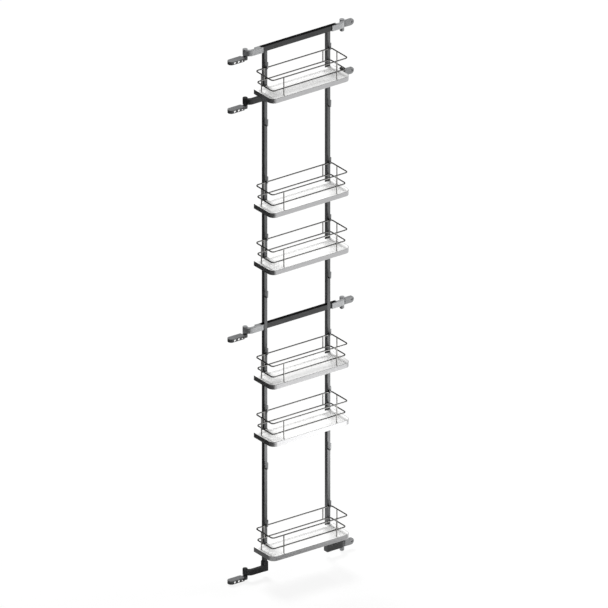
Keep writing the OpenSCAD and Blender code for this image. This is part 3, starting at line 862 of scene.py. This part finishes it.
def arm_screw(seat, shank_l):
    """A screw with its head behind the seat and its shank in front, with a cross recess."""
    head = rod("head", seat, HEAD_R, HEAD_H, axis=Y)
    round_off(head, HEAD_ROUND, 5, lambda edge: near(middle(edge).y, seat.y + HEAD_H))
    weld(head, rod("shank", seat - Vector((0, shank_l, 0)), SHANK_R, shank_l + SHANK_ROOT,
                   axis=Y))
    for half_x, half_z in ((CROSS_HALF_L, CROSS_HALF_W), (CROSS_HALF_W, CROSS_HALF_L)):
        cut(head, block("recess", seat + Vector((-half_x, CROSS_FLOOR, -half_z)),
                        seat + Vector((half_x, HEAD_H + OVERCUT, half_z))))
    return head


screws = []
for side in OUT:
    for level in levels:
        arm_top = pivots[side + "_bracket_" + level].z + ARM_DROP
        if level in light_levels:
            seat_x = outer_x("top_rail", side) - OUT[side] * TENON_L / 2
            screws.append(arm_screw(Vector((seat_x, back_y, arm_top - RAIL_H / 2)), LIGHT_SHANK))
        else:
            seat = Vector((centre_x[side], back_y + SLEEVE_WALL, arm_top - DARK_ARM_H / 2))
            screws.append(arm_screw(seat, DARK_SHANK))
put_on(gather("arm_screw_set", screws), screw_steel, "frame", "screw_steel", "arm_screws")


# --- shelf boards ---
# 15 mm chipboard faced with white melamine, also on the back edge, with two rounded front
# corners. Four holes take the railing's uprights, counterbored from below for the nuts.
TRAY_COUNT = 6
CORNER_R = 0.020
BAND_T = 0.001
STAY_R = 0.002
STAY_IN_FRONT = 0.042
STAY_IN_SIDE = 0.030
STAY_IN_BACK = 0.0306
NUT_BORE_R = 0.0048
NUT_BORE_H = 0.005

melamine, shade = new_material("melamine")
pearl = noise(shade, size=0.0009, detail=2)
scuffs = fade(shade, noise(shade, size=0.0007, detail=3, stretch=(40, 3, 1)), 0.70, 0.80)
smears = fade(shade, noise(shade, size=0.05, detail=3), 0.45, 0.75)
chips = fade(shade, noise(shade, size=0.0025, detail=4), 0.35, 0.65, low=0.35, high=0.62)
white = 0.95 - 0.025 * scuffs - 0.008 * smears
# Raw chipboard shows on every side but the top, the underside and the back edge.
facing = shade.node("ShaderNodeNewGeometry", out="True Normal")
up = shade.node("ShaderNodeSeparateXYZ", out="Z", Vector=facing)
back = shade.node("ShaderNodeSeparateXYZ", out="Y", Vector=facing)
raw = (shade.maths("LESS_THAN", shade.maths("ABSOLUTE", up), 0.5)
       * shade.maths("LESS_THAN", back, 0.98))
base = shade.node("ShaderNodeMix", {"data_type": "RGBA"}, out=2, i0=raw,
                  i6=shade.node("ShaderNodeVectorMath", {"operation": "SCALE"},
                                i0=(1.0, 1.0, 0.995), Scale=white),
                  i7=shade.node("ShaderNodeVectorMath", {"operation": "SCALE"},
                                i0=(1.0, 0.80, 0.56), Scale=chips))
surface(shade, base, grey=1.0, metal=0.0, rough=0.42 + 0.10 * smears + 0.08 * scuffs + 0.3 * raw,
        height=pearl - 2 * raw * chips, depth=0.00002)

trays = [f"tray_{number}" for number in range(1, TRAY_COUNT + 1)]
low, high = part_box("tray_1_edge_band")
rail_low, rail_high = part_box("tray_1_railing")
loop_low = rail_low + Vector((WIRE_D / 2, WIRE_D / 2, 0))
loop_high = rail_high - Vector((WIRE_D / 2, WIRE_D / 2, WIRE_D / 2))
drops = {tray: Vector((0, 0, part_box(tray + "_railing")[1].z - rail_high.z)) for tray in trays}
front_stays = [(loop_low.x + STAY_IN_FRONT, loop_low.y), (loop_high.x - STAY_IN_FRONT, loop_low.y)]
side_stays = [(loop_low.x, loop_high.y - STAY_IN_SIDE), (loop_high.x, loop_high.y - STAY_IN_SIDE)]
back_stays = [(loop_low.x + STAY_IN_BACK, loop_high.y), (loop_high.x - STAY_IN_BACK, loop_high.y)]


def round_front(piece, radius):
    """Rounds the two upright edges at the front."""
    round_off(piece, radius, 20,
              lambda edge: runs(edge, Z) and middle(edge).y < low.y + 2 * BAND_T)


board = block("board", low + Vector((BAND_T, BAND_T, 0)), high - Vector((BAND_T, 0, 0)))
round_front(board, CORNER_R - BAND_T)
break_edges(board, width=0.0002, segments=1, angle=60)
for place in front_stays + side_stays:
    start = (*place, low.z - OVERCUT)
    bore(board, start, STAY_R + SLIP, high.z - low.z + 2 * OVERCUT, sides=24)
    bore(board, start, NUT_BORE_R, NUT_BORE_H + OVERCUT, sides=32)


def hang_copies(*patterns):
    """Gives each tray its copies of the patterns of the first tray, and scraps these. Each
    pattern is a piece, its name, its finish, its slot, which is not used, and its solid."""
    for tray in trays:
        for piece, name, material, slot, node in patterns:
            made = copy_of(piece, tray + name, drops[tray])
            put_on(made, material, tray, slot, tray + node)
    for piece, *_ in patterns:
        bpy.data.objects.remove(piece)


hang_copies((board, "_shelf", melamine, "shelf_board", "_board"))


# --- edge bands ---
# A 1 mm strip of brushed aluminium round the ends and the front of each board.
band_metal, shade = new_material("band_metal")
lines = noise(shade, size=0.00025, detail=3, stretch=(200, 200, 1))
dents = fade(shade, noise(shade, size=0.004, detail=3, stretch=(6, 6, 1)), 0.66, 0.80)
worn = worn_edges(shade, width=0.0004)
brushed = fade(shade, lines, 0.3, 0.7, low=0.48, high=0.55)
surface(shade, (0.99, 0.99, 1.0), grey=brushed + 0.12 * worn - 0.08 * dents, metal=1.0,
        rough=fade(shade, lines, 0.2, 0.8, low=0.28, high=0.40), height=lines - dents,
        depth=0.00001)
band = block("band", low, high)
round_front(band, CORNER_R)
open_up(band, "FACE", lambda face: looks(face, 0, 0, 1) or looks(face, 0, 0, -1)
        or looks(face, 0, 1, 0))
bpy.ops.mesh.delete(type="FACE")
close_up()
apply(band, "SOLIDIFY", thickness=BAND_T, offset=-1)
break_edges(band, width=0.0002, segments=2, angle=60)
hang_copies((band, "_band_strip", band_metal, "edge_band", "_edge_band"))


# --- railings ---
# Two closed loops of 4.2 mm wire with 9 mm bends, butt welded, on four uprights that stand in
# the board, and two short ones between the loops at the back.
LOOP_INSET = 0.004
LOOP_STEP = 0.0378
BEND_R = 0.009
wire_plate, shade = new_material("wire_plate")
cloud = noise(shade, size=0.02, detail=3)
specks = fade(shade, noise(shade, size=0.0009, detail=2), 0.68, 0.76)
drawn = noise(shade, size=0.0004, detail=2, stretch=(30, 30, 3))
surface(shade, (1.0, 0.99, 0.965),
        grey=fade(shade, cloud, 0.3, 0.7, low=0.35, high=0.41) - 0.12 * specks, metal=1.0,
        rough=fade(shade, drawn, 0.3, 0.7, low=0.17, high=0.25) + 0.2 * specks,
        height=drawn, depth=0.00001)


def wire_loop(name, corner, far_corner, z):
    """One closed loop of bent wire between two opposite corners."""
    bpy.ops.object.select_all(action="DESELECT")
    bpy.ops.mesh.primitive_plane_add(
        size=1, location=((corner[X] + far_corner[X]) / 2, (corner[Y] + far_corner[Y]) / 2, z))
    loop = bpy.context.object
    loop.name = name
    loop.scale = (far_corner[X] - corner[X], far_corner[Y] - corner[Y], 1)
    bpy.ops.object.transform_apply(location=True, rotation=True, scale=True)
    open_up(loop, "VERT", lambda vertex: True)
    bpy.ops.mesh.bevel(offset=BEND_R, segments=10, affect="VERTICES")
    bpy.ops.mesh.select_all(action="SELECT")
    bpy.ops.mesh.delete(type="ONLY_FACE")
    close_up()
    only(loop)
    bpy.ops.object.convert(target="CURVE")
    loop = bpy.context.object
    loop.data.bevel_depth = WIRE_D / 2
    loop.data.bevel_resolution = 4
    bpy.ops.object.convert(target="MESH")
    return bpy.context.object


lower_z = loop_high.z - LOOP_STEP
railing = wire_loop("railing", loop_low, loop_high, loop_high.z)
lower = wire_loop("lower_loop", loop_low + Vector((LOOP_INSET, LOOP_INSET, 0)),
                  loop_high - Vector((LOOP_INSET, 0, 0)), lower_z)
stays = [rod("stay", (*place, rail_low.z), STAY_R, loop_high.z - rail_low.z, sides=20)
         for place in front_stays + side_stays]
stays += [rod("stay", (*place, lower_z), STAY_R, LOOP_STEP, sides=20) for place in back_stays]
for stay in stays:
    break_edges(stay, width=0.0004, segments=1, angle=60)
weld(railing, lower)
for stay in stays:
    weld(railing, stay)
hang_copies((railing, "_wire_railing", wire_plate, "railing_wire", "_railing"))


# --- tray nuts and washers ---
# M4 nuts with washers in the counterbores, on the threaded ends of the railing's uprights.
SPANGLES_A_METRE = 900
NUT_R = 0.00404
NUT_H = 0.0032
NUT_CHAMFER = 0.0003
THREAD_SLIP = 0.00002
DISC_R = 0.0043
DISC_T = 0.0008
fastener_zinc, shade = new_material("fastener_zinc")
spot = shade.node("ShaderNodeMapping", Vector=shade.node("ShaderNodeTexCoord", out="Object"),
                  Scale=[SPANGLES_A_METRE] * 3)
spangle = shade.node("ShaderNodeTexVoronoi", Scale=1.0, Vector=spot)
worn = worn_edges(shade, width=0.0004)
surface(shade, (0.96, 0.98, 1.0),
        grey=fade(shade, spangle, 0.0, 0.9, low=0.42, high=0.56) + 0.1 * worn, metal=1.0,
        rough=0.34 - 0.08 * worn, height=spangle, depth=0.000008)

nuts, discs = [], []
for place in front_stays + side_stays:
    disc_z = low.z + NUT_BORE_H - DISC_T
    nut_z = disc_z - SLIP - NUT_H
    nut = rod("nut", (*place, nut_z), NUT_R, NUT_H, sides=6)
    round_off(nut, NUT_CHAMFER, 2, lambda edge: not runs(edge, Z))
    bore(nut, (*place, nut_z - OVERCUT), STAY_R + THREAD_SLIP, NUT_H + 2 * OVERCUT, sides=24)
    nuts.append(nut)
    disc = rod("disc", (*place, disc_z), DISC_R, DISC_T, sides=40)
    bore(disc, (*place, disc_z - OVERCUT), STAY_R + SLIP, DISC_T + 2 * OVERCUT, sides=24)
    break_edges(disc, width=0.0001, segments=1, angle=60)
    discs.append(disc)
hang_copies((gather("nut_set", nuts), "_nut_set", fastener_zinc, "tray_fastener", "_nuts"),
            (gather("disc_set", discs), "_washer_set", fastener_zinc, "tray_fastener",
             "_washers"))
